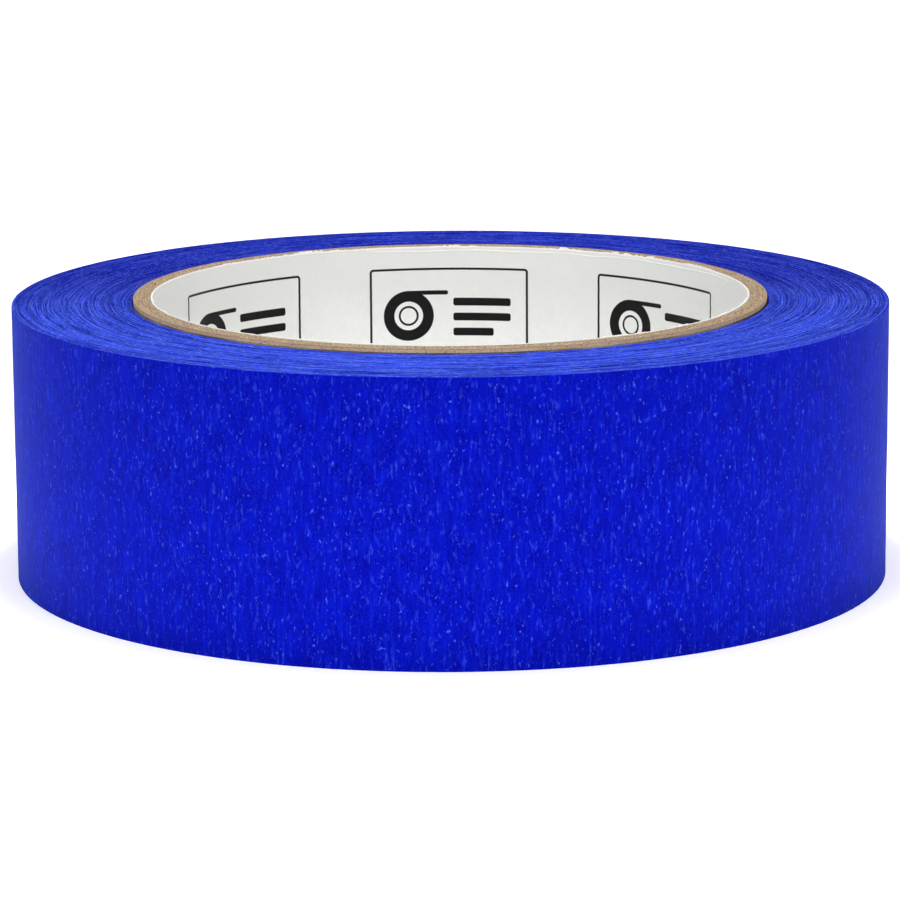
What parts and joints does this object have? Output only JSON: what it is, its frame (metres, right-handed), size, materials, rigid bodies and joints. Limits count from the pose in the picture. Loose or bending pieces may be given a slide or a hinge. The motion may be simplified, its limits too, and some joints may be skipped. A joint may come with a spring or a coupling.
{
  "type": "masking tape roll",
  "caption": "Roll of blue crepe-paper masking tape, spirally wound on a paperboard tube core with a printed white liner, with a free end that peels back.",
  "frame": {"origin": "on the roll's axis, at the lower edge of the tape, on which the roll stands", "axes": "+Z along the roll's axis, from the face that it rests on towards the face where the core stands proud; the tape's cut end is at 135 degrees from +X"},
  "size_m": [0.113, 0.1131, 0.036],
  "materials": {
    "printed_liner": "smooth white paper, printed with thin black frames",
    "grey_board": "tan chipboard, matt and fibrous",
    "kraft_cover": "brown kraft paper",
    "wound_tape": "cut edges of blue crepe paper tape",
    "crepe_backing": "blue crepe paper with fine cross wrinkles",
    "adhesive": "thin tacky coat, slightly glossy"
  },
  "bodies": {
    "roll": {"core_printed_liner": "printed_liner", "core_board_ply_1": "grey_board", "core_board_ply_2": "grey_board", "core_board_ply_3": "grey_board", "core_board_ply_4": "grey_board", "core_board_ply_5": "grey_board", "core_kraft_cover": "kraft_cover", "tape_inner_turns": "wound_tape", "tape_last_turn_adhesive": "adhesive", "tape_last_turn_backing": "crepe_backing"},
    "free_end_1": {"free_end_adhesive_1": "adhesive", "free_end_backing_1": "crepe_backing"},
    "free_end_2": {"free_end_adhesive_2": "adhesive", "free_end_backing_2": "crepe_backing"},
    "free_end_3": {"free_end_adhesive_3": "adhesive", "free_end_backing_3": "crepe_backing"},
    "free_end_4": {"free_end_adhesive_4": "adhesive", "free_end_backing_4": "crepe_backing"},
    "free_end_5": {"free_end_adhesive_5": "adhesive", "free_end_backing_5": "crepe_backing"},
    "free_end_6": {"free_end_adhesive_6": "adhesive", "free_end_backing_6": "crepe_backing"}
  },
  "joints": [
    {"name": "peel_1", "type": "hinge", "parent": "roll", "child": "free_end_1", "pos_m": [0.00294, 0.05649, 0.01775], "axis": [0, 0, -1], "range_deg": [0, 40]},
    {"name": "peel_2", "type": "hinge", "parent": "free_end_1", "child": "free_end_2", "pos_m": [-0.00495, 0.05635, 0.01775], "axis": [0, 0, -1], "range_deg": [0, 14]},
    {"name": "peel_3", "type": "hinge", "parent": "free_end_2", "child": "free_end_3", "pos_m": [-0.01275, 0.05512, 0.01775], "axis": [0, 0, -1], "range_deg": [0, 14]},
    {"name": "peel_4", "type": "hinge", "parent": "free_end_3", "child": "free_end_4", "pos_m": [-0.0203, 0.05281, 0.01775], "axis": [0, 0, -1], "range_deg": [0, 14]},
    {"name": "peel_5", "type": "hinge", "parent": "free_end_4", "child": "free_end_5", "pos_m": [-0.02745, 0.04947, 0.01775], "axis": [0, 0, -1], "range_deg": [0, 14]},
    {"name": "peel_6", "type": "hinge", "parent": "free_end_5", "child": "free_end_6", "pos_m": [-0.03407, 0.04518, 0.01775], "axis": [0, 0, -1], "range_deg": [0, 14]}
  ],
  "couplings": [
    {"joint": "peel_2", "follows": "peel_1", "ratio": 0.35},
    {"joint": "peel_3", "follows": "peel_1", "ratio": 0.35},
    {"joint": "peel_4", "follows": "peel_1", "ratio": 0.35},
    {"joint": "peel_5", "follows": "peel_1", "ratio": 0.35},
    {"joint": "peel_6", "follows": "peel_1", "ratio": 0.35}
  ]
}
